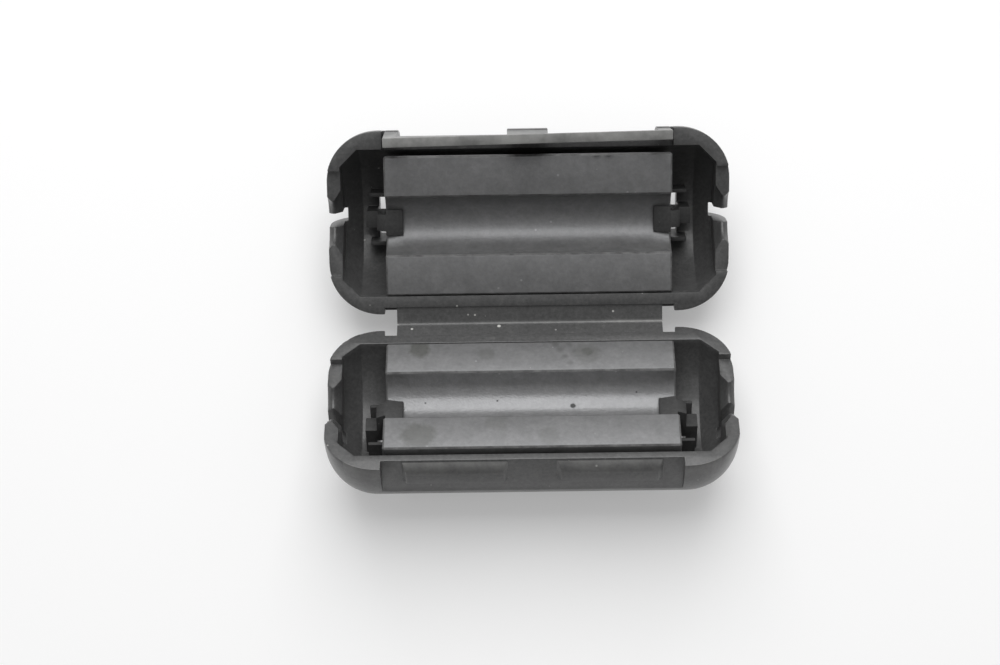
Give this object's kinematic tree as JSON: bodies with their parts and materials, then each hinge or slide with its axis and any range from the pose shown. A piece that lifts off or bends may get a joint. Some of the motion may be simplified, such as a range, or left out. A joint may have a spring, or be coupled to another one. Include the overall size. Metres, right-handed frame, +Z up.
{
  "type": "clip-on ferrite bead",
  "caption": "Clip-on ferrite bead lying open: round-ended plastic case with a living hinge and a windowed snap latch, holding half-round ferrite cores that close round a cable",
  "frame": {"origin": "on the floor under the middle of the hinge crease", "axes": "X runs along the hinge and the cable, the base half lies towards -Y, the lid half towards +Y, and Z is up"},
  "size_m": [0.035, 0.0318, 0.0155],
  "materials": {
    "case_plastic": "black moulded nylon, fine satin texture",
    "ferrite": "sintered grey ferrite, ground flat on the mating face"
  },
  "bodies": {
    "base": {"base_shell": "case_plastic", "base_core": "ferrite", "living_hinge": "case_plastic"},
    "lid": {"lid_shell": "case_plastic", "lid_core": "ferrite"}
  },
  "joints": [
    {"name": "lid_hinge", "type": "hinge", "parent": "base", "child": "lid", "pos_m": [0, 0, 0.00398], "axis": [1, 0, 0], "range_deg": [-58, 122], "deforming": ["living_hinge"]}
  ]
}
